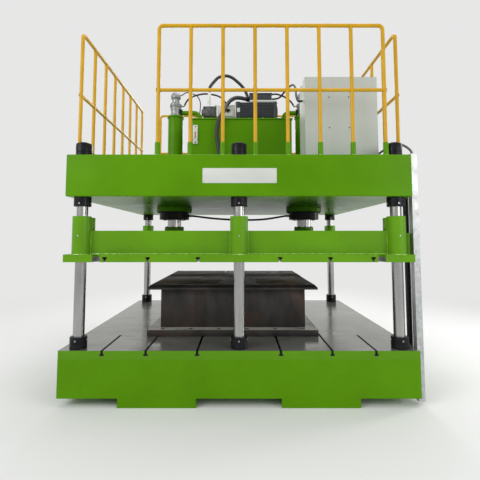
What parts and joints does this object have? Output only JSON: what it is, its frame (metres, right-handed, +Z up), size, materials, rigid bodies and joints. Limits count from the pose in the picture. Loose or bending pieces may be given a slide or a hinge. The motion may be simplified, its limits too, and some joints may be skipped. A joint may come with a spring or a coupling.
{
  "type": "hydraulic press",
  "caption": "Hydraulic press with a T-slotted bed, guide columns, a slide that moves down on twin cylinders, and a crown with railings, oil tank, pump and control cabinet.",
  "frame": {"origin": "on the floor, at the middle of the bounding box", "axes": "+Z up, the front with the name plate towards -Y, +X to the right as seen from the front"},
  "size_m": [3.2584, 2.6, 3.5248],
  "materials": {
    "green_paint": "gloss yellow-green enamel over welded plate",
    "yellow_paint": "gloss golden yellow",
    "bare_steel": "ground, lightly oiled",
    "hard_chrome": "hard chromed and ground",
    "black_oxide": "black oxide, oily",
    "bronze": "machined bronze",
    "cast_grey": "grey painted casting",
    "alloy_grey": "cast alloy",
    "motor_black": "satin black",
    "cabinet_grey": "light grey powder coat",
    "zinc_plate": "zinc plated sheet",
    "scaled_steel": "dark mill scale, slightly rusty",
    "hose_black": "black hose cover",
    "gauge_white": "white frame round a sight glass",
    "gear_white": "pale switchgear housings on a zinc plate"
  },
  "bodies": {
    "press_frame": {"bed_frame": "green_paint", "table_plate": "bare_steel", "column_front_left": "hard_chrome", "column_front_middle": "hard_chrome", "column_front_right": "hard_chrome", "column_back_left": "hard_chrome", "column_back_middle": "hard_chrome", "column_back_right": "hard_chrome", "top_nut_front_left": "black_oxide", "top_nut_front_middle": "black_oxide", "top_nut_front_right": "black_oxide", "top_nut_back_left": "black_oxide", "top_nut_back_middle": "black_oxide", "top_nut_back_right": "black_oxide", "crown_frame": "green_paint", "cylinder_barrel_left": "green_paint", "cylinder_barrel_right": "green_paint", "cylinder_gland_left": "black_oxide", "cylinder_gland_right": "black_oxide", "prefill_valve_left": "cast_grey", "prefill_valve_right": "cast_grey", "suction_pipe_left": "green_paint", "suction_pipe_right": "green_paint", "oil_tank": "green_paint", "tank_lid": "green_paint", "level_gauge": "gauge_white", "filler_breather": "black_oxide", "oil_pump": "cast_grey", "bell_housing": "alloy_grey", "servo_motor": "motor_black", "terminal_box": "motor_black", "cabinet_shell": "cabinet_grey", "control_gear": "gear_white", "front_railing": "yellow_paint", "left_railing": "yellow_paint", "right_railing": "yellow_paint", "back_railing": "yellow_paint", "cable_tray": "zinc_plate", "switch_rail": "black_oxide", "block_lower_plate": "scaled_steel", "block_body": "scaled_steel", "block_upper_plate": "scaled_steel", "arc_hose": "hose_black", "front_hose": "hose_black", "valve_hose": "hose_black", "gland_hose": "hose_black", "motor_cable": "hose_black", "cable_conduit": "hose_black"},
    "slide": {"slide_frame": "green_paint", "piston_rod_left": "hard_chrome", "piston_rod_right": "hard_chrome", "guide_bush_front_left": "bronze", "guide_bush_front_middle": "bronze", "guide_bush_front_right": "bronze", "guide_bush_back_left": "bronze", "guide_bush_back_middle": "bronze", "guide_bush_back_right": "bronze"},
    "cabinet_door": {"cabinet_door": "cabinet_grey"},
    "door_latch": {"door_latch": "black_oxide"},
    "drive_shaft": {"drive_coupling": "bare_steel"}
  },
  "joints": [
    {"name": "slide_travel", "type": "slide", "parent": "press_frame", "child": "slide", "axis": [0, 0, 1], "range_m": [-0.26, 0.085]},
    {"name": "cabinet_door_hinge", "type": "hinge", "parent": "press_frame", "child": "cabinet_door", "pos_m": [1.34185, -0.743, 2.6], "axis": [0, 0, -1], "range_deg": [0, 100]},
    {"name": "door_latch_turn", "type": "hinge", "parent": "cabinet_door", "child": "door_latch", "pos_m": [0.68885, -0.752, 2.6786], "axis": [0, -1, 0], "range_deg": [0, 90]},
    {"name": "drive_shaft_spin", "type": "hinge", "parent": "press_frame", "child": "drive_shaft", "pos_m": [-0.19, -0.25, 3.0154], "axis": [1, 0, 0], "continuous": true}
  ]
}
